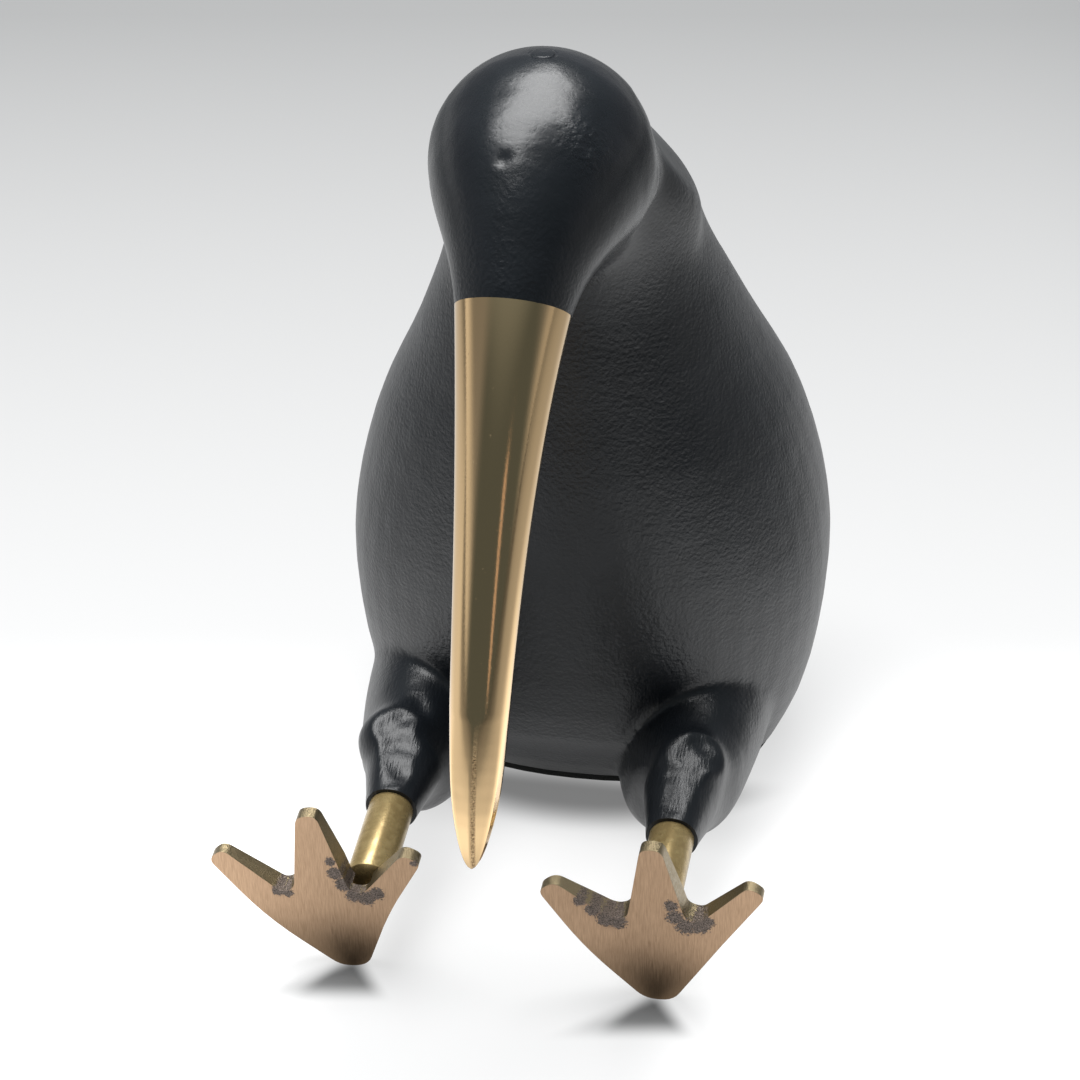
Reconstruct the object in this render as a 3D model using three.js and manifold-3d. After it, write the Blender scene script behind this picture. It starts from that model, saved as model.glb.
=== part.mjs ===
// A seated kiwi ornament: a black cast body on a felt pad, with the beak, legs and feet in
// polished brass. Millimetres, +Z up. The bird looks along -Y, its own left is +X, and the
// origin lies on the floor under the widest part of the body.
import * as THREE from 'three';
import { mergeVertices } from 'three/addons/utils/BufferGeometryUtils.js';
import Module from 'manifold-3d';

const wasm = await Module();
wasm.setup();

// Fits
const clearance = 0.3; // all round a piece that enters another
const seatGap = 0.2; // between two faces that bear on each other

// Felt pad under the casting
const feltThickness = 1.6;
const feltInset = 0.9; // its edge stands back from the edge of the casting

// Body casting, as level oval sections from the base up to the crest inside the head.
// rise is the height above the section below, set is the y of the middle of the oval.
const baseWidth = 66;
const baseDepth = 45.6;
const baseSet = 7.3;
const hipRise = 18;
const hipWidth = 78.5;
const hipDepth = 74;
const hipSet = 4;
const bellyRise = 25;
const bellyWidth = 83;
const bellyDepth = 81;
const bellySet = 2.5;
const flankRise = 23;
const flankWidth = 73.5;
const flankDepth = 77;
const flankSet = -0.5;
const shoulderRise = 20;
const shoulderWidth = 56;
const shoulderDepth = 62;
const shoulderSet = -7;
const neckRise = 18;
const neckWidth = 43;
const neckDepth = 46;
const neckSet = -15;
const napeRise = 16;
const napeWidth = 37.6;
const napeDepth = 36;
const napeSet = -26;
const crestRise = 19;
const crestWidth = 21;
const crestDepth = 12;
const crestSet = -43;
const ovalPower = 2.2; // 2 is an ellipse, more is squarer
const wall = 4.5; // thickness of the hollow casting
const domeRise = 9; // rounded top of the hollow above the neck section

// Head ball and the snout that carries the beak
const headDiameter = 35.2;
const headRise = 10.0; // middle of the head above the nape section
const headForward = 20.5; // and in front of it
const snoutReach = 24.4; // end of the snout in front of the middle of the head
const snoutDrop = 13.8; // and below it
const snoutSlope = 52; // degrees below level where the beak begins
const snoutStartSlope = 8; // degrees below level in the middle of the head

// Beak, a round taper along a curve that bends down from the snout
const beakRootDiameter = 17.7;
const beakWaistDiameter = 12.4;
const beakWaistAt = 0.32; // share of the length
const beakShoulderDiameter = 8.2;
const beakShoulderAt = 0.81;
const beakNoseDiameter = 5.5; // where the blunt end begins to close
const beakNoseAt = 0.945;
const beakTipDiameter = 2.2;
const beakReach = 34.4; // tip in front of the end of the snout
const beakDrop = 76; // and below it
const beakEndSlope = 75; // degrees below level at the tip
const spigotDiameter = 10; // turned peg on the beak, in a socket of the snout
const spigotLength = 6;

// Tie rod that draws the beak on to the head, filed flush on the crown
const tieRodDiameter = 3.6;
const tieRodGrip = 12; // thread inside the beak and its peg

// Legs, turned rods that slope down to the feet
const legSpread = 47; // between the two leg axes
const legRootSet = -57.5; // y where the brass leaves the black thigh
const legSlope = 9; // degrees below level
const legDiameter = 7.4;
const legShow = 17.5; // bare brass between thigh and foot
const legSocket = 6; // depth of the rod inside the thigh
const studDiameter = 5; // threaded end inside the thigh
const studEnd = 2; // thread past the nut
const studChamfer = 0.6;
const footPegDiameter = 4.6;
const footPegLength = 2.1;

// Thighs, lofted along the legs from the brass back into the body. Each section is an oval that
// reaches above and below the leg axis, and a ball makes the knee.
const thighLip = 0.7; // black around the rod where it leaves
const kneeBack = 14; // middle of the knee behind the end of the thigh
const kneeDiameter = 13;
const leftKneeRaise = 2.8; // middle of the knee above the leg axis
const rightKneeRaise = 1.8;
const leftKneeOutward = 0.8; // away from the middle of the bird
const rightKneeOutward = 2.3;
const shinWidth = 13; // section of the thigh at the knee
const shinAbove = 8;
const shinBelow = 12;
const dipBack = 10; // the dip behind the knee
const leftDipWidth = 21;
const rightDipWidth = 19.5;
const leftDipOutward = 0; // the dip's section beside the leg axis
const rightDipOutward = 0.4;
const dipAbove = 6.8;
const dipBelow = 21;
const haunchBack = 26; // haunch section behind the dip
const haunchWidth = 25;
const haunchAbove = 10;
const haunchBelow = 30;
const thighTail = 22; // from the haunch to the end inside the body
const leftThighLean = 11; // degrees behind the knee, the lower edges of both thighs lie towards -X
const rightThighLean = 5; // degrees
const thighPower = 2;

// Nut and washer on each leg's thread, against a boss inside the hollow body
const bossBack = 36; // face of the boss behind the end of the thigh
const bossLength = 16;
const bossDiameter = 13;
const washerDiameter = 11;
const washerThickness = 1;
const nutAcrossFlats = 8;
const nutThickness = 4;

// Feet, flat three-toed plates that stand on their heels, each filed to its own outline. Outer
// is the side away from the other foot, reach is counted from the heel, splay from the middle
// toe, and a bow lies outside the straight line from heel to toe.
const footThickness = 4;
const toeThickness = 1.8; // at the tips of the toes
const palmDiameter = 14; // the full thickness in the middle of the foot
const middleToeReach = 32.5;
const heelWidth = 4.6;
const heelRound = 2;
const toeTipWidth = 3.4;
const toeRound = 1.5;
const crotchWidth = 2.4;
const crotchRound = 1.2;
const edgeRound = 9;
const leftPalmHeight = 15.4; // leg axis above the heel, along the plate
const leftPalmShift = -0.6; // leg axis to the outer side of the middle toe's line
const leftFootTurn = 2; // degrees, both feet are set leaning towards -X
const leftOuterToeReach = 30.2;
const leftOuterToeSplay = 33.3; // degrees
const leftOuterEdgeBow = -0.2;
const leftOuterCrotchReach = 19;
const leftOuterCrotchSplay = 18.5; // degrees
const leftInnerToeReach = 28.8;
const leftInnerToeSplay = 36.8; // degrees
const leftInnerEdgeBow = 1.4;
const leftInnerCrotchReach = 18.2;
const leftInnerCrotchSplay = 17.6; // degrees
const rightPalmHeight = 14.6;
const rightPalmShift = -5;
const rightFootTurn = 11; // degrees
const rightOuterToeReach = 30.8;
const rightOuterToeSplay = 34.3; // degrees
const rightOuterEdgeBow = 2;
const rightOuterCrotchReach = 18.4;
const rightOuterCrotchSplay = 22.5; // degrees
const rightInnerToeReach = 27.2;
const rightInnerToeSplay = 34; // degrees
const rightInnerEdgeBow = -1;
const rightInnerCrotchReach = 16.6;
const rightInnerCrotchSplay = 15; // degrees

// Lengths that only have to reach past what they cut
const cutPast = 1;
const wideCut = 400;
const deepCut = 60;

// Facets
const bodySides = 48;
const hollowSides = 32;
const thighSides = 26;
const roundSides = 32;
const smallSides = 20;
const curveSteps = 5; // along each rounded corner of a foot
const domeSteps = 3; // rings of the dome over the hollow

const black = new THREE.MeshStandardMaterial({ color: 0x14161a, roughness: 0.4, metalness: 0.5 });
const brass = new THREE.MeshStandardMaterial({ color: 0xb98d4c, roughness: 0.22, metalness: 1 });
const brushedBrass = new THREE.MeshStandardMaterial({ color: 0xa98355, roughness: 0.42, metalness: 1 });
const steel = new THREE.MeshStandardMaterial({ color: 0x8d9092, roughness: 0.4, metalness: 1 });
const felt = new THREE.MeshStandardMaterial({ color: 0x1b1d1c, roughness: 0.95, metalness: 0 });

const X = new THREE.Vector3(1, 0, 0);
const Z = new THREE.Vector3(0, 0, 1);
const radians = THREE.MathUtils.degToRad;

// Points of one closed oval around a middle, counted round the direction of travel
function oval(middle, travel, halfAcross, halfUp, power, sides) {
  const upward = new THREE.Vector3().crossVectors(travel, X);
  const points = [];
  for (let i = 0; i < sides; i += 1) {
    const angle = (2 * Math.PI * i) / sides;
    const c = Math.cos(angle);
    const s = Math.sin(angle);
    const across = halfAcross * Math.sign(c) * Math.abs(c) ** (2 / power);
    const up = halfUp * Math.sign(s) * Math.abs(s) ** (2 / power);
    points.push(middle.clone().addScaledVector(X, across).addScaledVector(upward, up));
  }
  return points;
}

// Closed skin over a row of ovals that have the same number of points
function loft(rings) {
  const sides = rings[0].length;
  const points = rings.flat();
  const faces = [];
  for (let r = 0; r + 1 < rings.length; r += 1) {
    for (let i = 0; i < sides; i += 1) {
      const a = r * sides + i;
      const b = r * sides + ((i + 1) % sides);
      faces.push(a, b, b + sides, a, b + sides, a + sides);
    }
  }
  const last = (rings.length - 1) * sides;
  for (let i = 1; i + 1 < sides; i += 1) {
    faces.push(0, i + 1, i);
    faces.push(last, last + i, last + i + 1);
  }
  const geometry = new THREE.BufferGeometry().setFromPoints(points);
  geometry.setIndex(faces);
  return geometry;
}

// Smooth run of values through a few stations, each an array of numbers
function smooth(stations, steps) {
  const columns = stations[0].length;
  const runs = [];
  for (let c = 0; c < columns; c += 1) {
    const line = stations.map((station, i) => new THREE.Vector2(i, station[c]));
    runs.push(new THREE.SplineCurve(line).getPoints(steps * (stations.length - 1)));
  }
  return runs[0].map((unused, i) => runs.map((run) => run[i].y));
}

function solid(geometry) {
  const plain = geometry.clone();
  plain.deleteAttribute('normal');
  plain.deleteAttribute('uv');
  const merged = mergeVertices(plain, 1e-4);
  const vertProperties = new Float32Array(merged.attributes.position.array);
  const triVerts = new Uint32Array(merged.index.array);
  return new wasm.Manifold(new wasm.Mesh({ numProp: 3, vertProperties, triVerts }));
}

function surface(manifold) {
  const mesh = manifold.getMesh();
  const geometry = new THREE.BufferGeometry();
  geometry.setAttribute('position', new THREE.BufferAttribute(mesh.vertProperties, 3));
  geometry.setIndex(new THREE.BufferAttribute(mesh.triVerts, 1));
  geometry.computeVertexNormals();
  return geometry;
}

// Round bar between two distances along an axis
function bar(start, along, from, to, diameter, sides) {
  const geometry = new THREE.CylinderGeometry(diameter / 2, diameter / 2, to - from, sides);
  const turn = new THREE.Quaternion().setFromUnitVectors(new THREE.Vector3(0, 1, 0), along);
  geometry.applyQuaternion(turn);
  const middle = start.clone().addScaledVector(along, (from + to) / 2);
  geometry.translate(middle.x, middle.y, middle.z);
  return geometry;
}

// Ring or stepped bar turned about an axis, from a profile of [radius, distance] pairs
function turned(start, along, profile, sides) {
  const points = profile.map(([radius, distance]) => new THREE.Vector2(radius, distance));
  const geometry = new THREE.LatheGeometry(points, sides);
  const turn = new THREE.Quaternion().setFromUnitVectors(new THREE.Vector3(0, 1, 0), along);
  geometry.applyQuaternion(turn);
  geometry.translate(start.x, start.y, start.z);
  return geometry;
}

function forwardDown(slope) {
  return new THREE.Vector3(0, -Math.cos(radians(slope)), -Math.sin(radians(slope)));
}

// Sections of the body, from the base to the crest
const bodyStations = [
  [0, baseWidth, baseDepth, baseSet],
  [hipRise, hipWidth, hipDepth, hipSet],
  [bellyRise, bellyWidth, bellyDepth, bellySet],
  [flankRise, flankWidth, flankDepth, flankSet],
  [shoulderRise, shoulderWidth, shoulderDepth, shoulderSet],
  [neckRise, neckWidth, neckDepth, neckSet],
  [napeRise, napeWidth, napeDepth, napeSet],
  [crestRise, crestWidth, crestDepth, crestSet],
];

let sum = feltThickness;
const stationHeights = bodyStations.map(([rise]) => {
  sum += rise;
  return sum;
});

// Rings of the body over its first few sections, every oval drawn in by the same inset
function bodyRings(inset, count, stepsEach, sides) {
  const stations = bodyStations.slice(0, count).map(([rise, width, depth, set], i) => {
    return [stationHeights[i], width / 2 - inset, depth / 2 - inset, set];
  });
  return smooth(stations, stepsEach).map(([height, halfWidth, halfDepth, set]) => {
    return oval(new THREE.Vector3(0, set, height), Z, halfWidth, halfDepth, ovalPower, sides);
  });
}

// Rings that close a row of rings with a dome
function dome(ring, rise, steps) {
  const middle = ring.reduce((total, p) => total.add(p), new THREE.Vector3()).divideScalar(ring.length);
  const rings = [];
  for (let i = 1; i <= steps; i += 1) {
    const angle = ((Math.PI / 2) * i) / (steps + 0.5);
    rings.push(ring.map((p) => {
      const drawn = p.clone().lerp(middle, 1 - Math.cos(angle));
      drawn.z += rise * Math.sin(angle);
      return drawn;
    }));
  }
  return rings;
}

// A copy of the lowest oval further down, so that a cut at the base meets a straight wall
function carriedDown(rings, depth) {
  const low = rings[0].map((p) => new THREE.Vector3(p.x, p.y, p.z - depth));
  return [low, ...rings];
}

// Head and beak line
const napeHeight = stationHeights[6];
const headMiddle = new THREE.Vector3(0, napeSet - headForward, napeHeight + headRise);
const snoutEnd = headMiddle.clone().add(new THREE.Vector3(0, -snoutReach, -snoutDrop));
const beakStart = forwardDown(snoutSlope);
const snoutLength = snoutEnd.distanceTo(headMiddle);
const snoutLine = new THREE.CubicBezierCurve3(
  headMiddle,
  headMiddle.clone().addScaledVector(forwardDown(snoutStartSlope), snoutLength * 0.35),
  snoutEnd.clone().addScaledVector(beakStart, -snoutLength * 0.35),
  snoutEnd,
);
const beakTip = snoutEnd.clone().add(new THREE.Vector3(0, -beakReach, -beakDrop));
const beakLength = beakTip.distanceTo(snoutEnd);
const beakLine = new THREE.CubicBezierCurve3(
  snoutEnd,
  snoutEnd.clone().addScaledVector(beakStart, beakLength * 0.22),
  beakTip.clone().addScaledVector(forwardDown(beakEndSlope), -beakLength * 0.45),
  beakTip,
);

function roundAlong(line, radiusAt, steps, sides) {
  const rings = [];
  for (let i = 0; i <= steps; i += 1) {
    const share = i / steps;
    const travel = line.getTangentAt(share).normalize();
    const radius = radiusAt(share);
    rings.push(oval(line.getPointAt(share), travel, radius, radius, 2, sides));
  }
  return loft(rings);
}

// The snout leaves the ball a little inside its skin and narrows to the beak in an S
function snoutRadius(share) {
  const ease = THREE.MathUtils.smootherstep(share, -0.1, 1.25);
  const wide = headDiameter / 2 - clearance;
  const full = THREE.MathUtils.smootherstep(1, -0.1, 1.25);
  return THREE.MathUtils.lerp(wide, beakRootDiameter / 2, ease / full);
}

const beakProfile = new THREE.SplineCurve([
  new THREE.Vector2(0, beakRootDiameter / 2),
  new THREE.Vector2(beakWaistAt, beakWaistDiameter / 2),
  new THREE.Vector2(beakShoulderAt, beakShoulderDiameter / 2),
  new THREE.Vector2(beakNoseAt, beakNoseDiameter / 2),
  new THREE.Vector2(1, beakTipDiameter / 2),
]);

// Radius of the beak at a share of its length, read from the profile by halving
function beakRadius(share) {
  let low = 0;
  let high = 1;
  for (let i = 0; i < 30; i += 1) {
    const middle = (low + high) / 2;
    if (beakProfile.getPoint(middle).x < share) {
      low = middle;
    } else {
      high = middle;
    }
  }
  return beakProfile.getPoint(low).y;
}

// Tie rod: where its line leaves the top of the head ball
const upTheRod = beakStart.clone().negate();
const toHead = headMiddle.clone().sub(snoutEnd);
const nearest = toHead.dot(upTheRod);
const offAxis = Math.sqrt(Math.max(0, toHead.lengthSq() - nearest ** 2));
const crownDistance = nearest + Math.sqrt((headDiameter / 2) ** 2 - offAxis ** 2);

// Foot plate, drawn flat with its heel at the origin and its middle toe along +Y
function polar(splay, reach) {
  return new THREE.Vector2(reach * Math.sin(radians(splay)), reach * Math.cos(radians(splay)));
}

// The two corners across an end, its middle given by splay and reach
function corner(splay, reach, width, side) {
  return polar(splay, reach).add(polar(splay + 90, (side * width) / 2));
}

// Closed outline through corners, each rounded by cutting back along both of its edges
function roundedShape(corners) {
  const shape = new THREE.Shape();
  corners.forEach(({ at, round }, i) => {
    const before = corners[(i + corners.length - 1) % corners.length].at;
    const after = corners[(i + 1) % corners.length].at;
    const back = Math.min(round, at.distanceTo(before) / 2.2);
    const on = Math.min(round, at.distanceTo(after) / 2.2);
    const enter = at.clone().lerp(before, back / at.distanceTo(before));
    const leave = at.clone().lerp(after, on / at.distanceTo(after));
    if (i === 0) {
      shape.moveTo(enter.x, enter.y);
    } else {
      shape.lineTo(enter.x, enter.y);
    }
    shape.quadraticCurveTo(at.x, at.y, leave.x, leave.y);
  });
  shape.closePath();
  return shape;
}

// One side of a foot from the heel to the middle toe: side is +1 for the right as the sole is seen
function footSide(side, toe) {
  const heel = new THREE.Vector2((side * heelWidth) / 2, 0);
  const splay = side * toe.splay;
  const crotch = side * toe.crotchSplay;
  const low = corner(splay, toe.reach, toeTipWidth, side);
  const square = new THREE.Vector2(low.y - heel.y, heel.x - low.x).normalize();
  const bowed = heel.clone().lerp(low, 0.5).addScaledVector(square, side * toe.bow);
  return [
    { at: heel, round: heelRound },
    { at: bowed, round: edgeRound },
    { at: low, round: toeRound },
    { at: corner(splay, toe.reach, toeTipWidth, -side), round: toeRound },
    { at: corner(crotch, toe.crotchReach, crotchWidth, side), round: crotchRound },
    { at: corner(crotch, toe.crotchReach, crotchWidth, -side), round: crotchRound },
    { at: corner(0, middleToeReach, toeTipWidth, side), round: toeRound },
  ];
}

// Outline of a foot, its outer toe on the right for the bird's left foot
function footOutline(side, outerToe, innerToe) {
  const outerEdge = footSide(side, outerToe);
  const innerEdge = footSide(-side, innerToe).reverse();
  return roundedShape([...outerEdge, ...innerEdge]);
}

const leftOutline = footOutline(
  1,
  {
    reach: leftOuterToeReach,
    splay: leftOuterToeSplay,
    bow: leftOuterEdgeBow,
    crotchReach: leftOuterCrotchReach,
    crotchSplay: leftOuterCrotchSplay,
  },
  {
    reach: leftInnerToeReach,
    splay: leftInnerToeSplay,
    bow: leftInnerEdgeBow,
    crotchReach: leftInnerCrotchReach,
    crotchSplay: leftInnerCrotchSplay,
  },
);
const rightOutline = footOutline(
  -1,
  {
    reach: rightOuterToeReach,
    splay: rightOuterToeSplay,
    bow: rightOuterEdgeBow,
    crotchReach: rightOuterCrotchReach,
    crotchSplay: rightOuterCrotchSplay,
  },
  {
    reach: rightInnerToeReach,
    splay: rightInnerToeSplay,
    bow: rightInnerEdgeBow,
    crotchReach: rightInnerCrotchReach,
    crotchSplay: rightInnerCrotchSplay,
  },
);

// One leg with its foot: side is +1 for the bird's left. Everything that belongs to the leg is
// placed from the point where the leg axis meets the sole.
const legAlong = forwardDown(legSlope);
const soleUp = new THREE.Vector3().crossVectors(legAlong, X).normalize();

function legPlan(side, outline, palmShift, palmHeight, footTurn, flesh) {
  const turn = radians(footTurn);
  const palm = new THREE.Vector2(side * palmShift, palmHeight);
  const lowest = Math.min(...outline.getPoints(curveSteps).map((p) => {
    return (p.x - palm.x) * Math.sin(turn) + (p.y - palm.y) * Math.cos(turn);
  }));
  const reach = legShow + footThickness + seatGap;
  const soleHeight = -lowest * soleUp.z;
  const sole = new THREE.Vector3(
    (side * legSpread) / 2,
    legRootSet + legAlong.y * reach,
    soleHeight,
  );
  const root = sole.clone().addScaledVector(legAlong, -reach);
  return { side, outline, palm, turn, sole, root, flesh };
}

const leftThigh = {
  outward: leftKneeOutward,
  raise: leftKneeRaise,
  dipWidth: leftDipWidth,
  dipOutward: leftDipOutward,
  lean: Math.tan(radians(leftThighLean)),
};
const rightThigh = {
  outward: rightKneeOutward,
  raise: rightKneeRaise,
  dipWidth: rightDipWidth,
  dipOutward: rightDipOutward,
  lean: Math.tan(radians(rightThighLean)),
};
const leftPlan = legPlan(1, leftOutline, leftPalmShift, leftPalmHeight, leftFootTurn, leftThigh);
const rightPlan = legPlan(-1, rightOutline, rightPalmShift, rightPalmHeight, rightFootTurn, rightThigh);

function thigh(plan, inset) {
  const back = legAlong.clone().negate();
  const lip = legDiameter / 2 + thighLip;
  const { outward, dipWidth, dipOutward, lean } = plan.flesh;
  const dipAt = kneeBack + dipBack;
  const haunchAt = dipAt + haunchBack;
  const stations = [
    [0, 2 * lip, lip, lip, 0, 0],
    [kneeBack, shinWidth, shinAbove, shinBelow, outward / 2, 0],
    [dipAt, dipWidth, dipAbove, dipBelow, dipOutward, lean],
    [haunchAt, haunchWidth, haunchAbove, haunchBelow, 0, lean],
    [haunchAt + thighTail, 2 * lip, lip, lip, 0, 0],
  ];
  const rings = smooth(stations, 4).map(([distance, width, above, below, aside, leanHere]) => {
    const axis = plan.root.clone().addScaledVector(back, distance);
    const middle = axis.clone();
    middle.z += (above - below) / 2;
    middle.x += plan.side * aside;
    const halfUp = (above + below) / 2 - inset;
    const ring = oval(middle, back, width / 2 - inset, halfUp, thighPower, thighSides);
    return ring.map((p) => p.setX(p.x - leanHere * Math.max(0, axis.z - p.z)));
  });
  return loft(rings);
}

function knee(plan) {
  const ball = new THREE.SphereGeometry(kneeDiameter / 2, thighSides, thighSides / 2);
  const middle = plan.root.clone().addScaledVector(legAlong, -kneeBack);
  ball.translate(middle.x + plan.side * plan.flesh.outward, middle.y, middle.z + plan.flesh.raise);
  return solid(ball);
}

function washerSeat() {
  return -(bossBack + seatGap);
}

function nutSeat() {
  return washerSeat() - washerThickness - seatGap;
}

function studStart() {
  return nutSeat() - nutThickness - studEnd;
}

// What each leg takes out of the casting: socket, hole for the thread, room for the nut
function legCuts(plan) {
  const rodDiameter = legDiameter + 2 * clearance;
  const threadDiameter = studDiameter + 2 * clearance;
  const socket = bar(plan.root, legAlong, -legSocket - seatGap, 2 * cutPast, rodDiameter, roundSides);
  const hole = bar(plan.root, legAlong, -bossBack - cutPast, -legSocket, threadDiameter, smallSides);
  const roomEnd = studStart() - cutPast;
  const room = bar(plan.root, legAlong, roomEnd, -bossBack, bossDiameter, smallSides);
  return solid(socket).add(solid(hole)).add(solid(room));
}

// Boss for the nut, cast inside the hollow around the hole for the thread
function boss(plan) {
  return solid(bar(plan.root, legAlong, -bossBack, bossLength - bossBack, bossDiameter, smallSides));
}

function legGeometry(plan) {
  const stud = studDiameter / 2;
  const rod = legDiameter / 2;
  const peg = footPegDiameter / 2;
  return turned(plan.root, legAlong, [
    [0, studStart()],
    [stud - studChamfer, studStart()],
    [stud, studStart() + studChamfer],
    [stud, -legSocket],
    [rod, -legSocket],
    [rod, legShow],
    [peg, legShow],
    [peg, legShow + footPegLength],
    [0, legShow + footPegLength],
  ], roundSides);
}

// Blank of a foot about the middle of its palm: flat in front, thinner behind towards the rim
function footBlank(plan) {
  const rim = middleToeReach - plan.palm.y + toeTipWidth;
  const blank = new THREE.LatheGeometry([
    new THREE.Vector2(0, 0),
    new THREE.Vector2(2 * rim, 0),
    new THREE.Vector2(2 * rim, -toeThickness),
    new THREE.Vector2(rim, -toeThickness),
    new THREE.Vector2(palmDiameter / 2, -footThickness),
    new THREE.Vector2(0, -footThickness),
  ].reverse(), roundSides);
  blank.rotateX(Math.PI / 2);
  blank.translate(0, plan.palm.y, 0);
  return blank;
}

function footGeometry(plan) {
  const plate = new THREE.ExtrudeGeometry(plan.outline, {
    depth: footThickness + cutPast,
    bevelEnabled: false,
    curveSegments: curveSteps,
  });
  plate.translate(0, 0, -footThickness - cutPast);
  const foot = surface(solid(plate).intersect(solid(footBlank(plan))));
  foot.translate(-plan.palm.x, -plan.palm.y, 0);
  foot.rotateZ(plan.turn);
  foot.applyMatrix4(new THREE.Matrix4().makeBasis(X, soleUp, legAlong));
  foot.translate(plan.sole.x, plan.sole.y, plan.sole.z);
  const socketDepth = footPegLength + clearance;
  const hole = bar(
    plan.sole,
    legAlong,
    -footThickness - cutPast,
    -footThickness - seatGap + socketDepth,
    footPegDiameter + 2 * clearance,
    smallSides,
  );
  return surface(solid(foot).subtract(solid(hole)));
}

function washerGeometry(plan) {
  const inner = studDiameter / 2 + clearance;
  const outer = washerDiameter / 2;
  const front = washerSeat();
  const back = front - washerThickness;
  const section = [[inner, back], [outer, back], [outer, front], [inner, front], [inner, back]];
  return turned(plan.root, legAlong, section, smallSides);
}

function nutGeometry(plan) {
  const corner = nutAcrossFlats / Math.sqrt(3);
  const block = bar(plan.root, legAlong, nutSeat() - nutThickness, nutSeat(), 2 * corner, 6);
  const boreStart = nutSeat() - nutThickness - cutPast;
  const boreDiameter = studDiameter + 2 * clearance;
  const bore = bar(plan.root, legAlong, boreStart, nutSeat() + cutPast, boreDiameter, smallSides);
  return surface(solid(block).subtract(solid(bore)));
}

// Body casting: body, neck, head, snout and thighs in one, cut flat at the base, hollow inside
const skinRings = bodyRings(0, bodyStations.length, 4, bodySides);
const skin = solid(loft(carriedDown(skinRings, deepCut)));
const headBall = new THREE.SphereGeometry(headDiameter / 2, 32, 18);
headBall.rotateX(Math.PI / 2);
headBall.translate(headMiddle.x, headMiddle.y, headMiddle.z);
const snout = roundAlong(snoutLine, snoutRadius, 10, roundSides);

function slab(from, to) {
  const block = new THREE.BoxGeometry(wideCut, wideCut, to - from);
  block.translate(0, 0, (from + to) / 2);
  return solid(block);
}

// The hollow follows the skin from the base to the neck section
const hollowStations = 6;
const hollowRings = bodyRings(wall, hollowStations, 3, hollowSides);
hollowRings.push(...dome(hollowRings[hollowRings.length - 1], domeRise, domeSteps));
const hollow = solid(loft(carriedDown(hollowRings, feltThickness + cutPast)));
const socketDiameter = spigotDiameter + 2 * clearance;
const spigotSocket = bar(snoutEnd, upTheRod, -cutPast, spigotLength + clearance, socketDiameter, roundSides);
const rodHoleDiameter = tieRodDiameter + 2 * clearance;
const tieRodHole = bar(snoutEnd, upTheRod, 0, crownDistance + tieRodDiameter, rodHoleDiameter, smallSides);

const outside = skin
  .add(solid(headBall))
  .add(solid(snout))
  .add(solid(thigh(leftPlan, 0)))
  .add(solid(thigh(rightPlan, 0)))
  .add(knee(leftPlan))
  .add(knee(rightPlan))
  .subtract(slab(-deepCut, feltThickness));
const casting = outside
  .subtract(hollow)
  .add(outside.intersect(boss(leftPlan).add(boss(rightPlan))))
  .subtract(legCuts(leftPlan))
  .subtract(legCuts(rightPlan))
  .subtract(solid(spigotSocket))
  .subtract(solid(tieRodHole));

// Beak with its peg and the tapped hole for the tie rod
const beakSkin = roundAlong(beakLine, beakRadius, 22, 28);
const beakShift = beakStart.clone().multiplyScalar(seatGap);
beakSkin.translate(beakShift.x, beakShift.y, beakShift.z);
const peg = bar(snoutEnd, upTheRod, -cutPast, spigotLength, spigotDiameter, roundSides);
const tapped = bar(
  snoutEnd,
  upTheRod,
  spigotLength - tieRodGrip - clearance,
  spigotLength + cutPast,
  tieRodDiameter + 2 * clearance,
  smallSides,
);
const beakSolid = solid(beakSkin).add(solid(peg)).subtract(solid(tapped));
const rodLower = bar(snoutEnd, upTheRod, spigotLength - tieRodGrip, nearest, tieRodDiameter, smallSides);
const rodTop = crownDistance + tieRodDiameter;
const rodUpper = bar(snoutEnd, upTheRod, nearest - cutPast, rodTop, tieRodDiameter, smallSides);
const tieRod = solid(rodUpper).intersect(solid(headBall)).add(solid(rodLower));

// Felt pad: the underside of the body and both thighs, drawn in a little. The thighs are stretched
// upwards and downwards from the top of the pad, so that its edges stand upright.
const padTop = feltThickness - seatGap;
const padBody = loft(carriedDown(bodyRings(feltInset, 2, 2, bodySides), deepCut));

function padThigh(plan) {
  const tall = thigh(plan, feltInset);
  tall.translate(0, 0, -padTop);
  tall.scale(1, 1, deepCut);
  tall.translate(0, 0, padTop);
  return solid(tall);
}

const pad = solid(padBody)
  .add(padThigh(leftPlan))
  .add(padThigh(rightPlan))
  .intersect(slab(0, padTop));

const pieces = [
  ['body_casting', surface(casting), black],
  ['beak', surface(beakSolid), brass],
  ['beak_tie_rod', surface(tieRod), brass],
  ['left_leg', legGeometry(leftPlan), brass],
  ['right_leg', legGeometry(rightPlan), brass],
  ['left_foot', footGeometry(leftPlan), brushedBrass],
  ['right_foot', footGeometry(rightPlan), brushedBrass],
  ['left_leg_washer', washerGeometry(leftPlan), steel],
  ['right_leg_washer', washerGeometry(rightPlan), steel],
  ['left_leg_nut', nutGeometry(leftPlan), steel],
  ['right_leg_nut', nutGeometry(rightPlan), steel],
  ['base_felt', surface(pad), felt],
];

const kiwi = new THREE.Group();
for (const [name, geometry, material] of pieces) {
  const mesh = new THREE.Mesh(geometry, material);
  mesh.name = name;
  kiwi.add(mesh);
}

export default kiwi;
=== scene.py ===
# %% [markdown]
# # A seated kiwi in black cast metal and brass
# The bird sits on the floor with its legs stretched out, looking along -Y. The solids from the
# CAD build are loaded first and stay where they are. Each step below makes one piece that is
# seen, or one finish, in the same frame, in metres.

import math

import bpy
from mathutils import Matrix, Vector, noise


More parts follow.
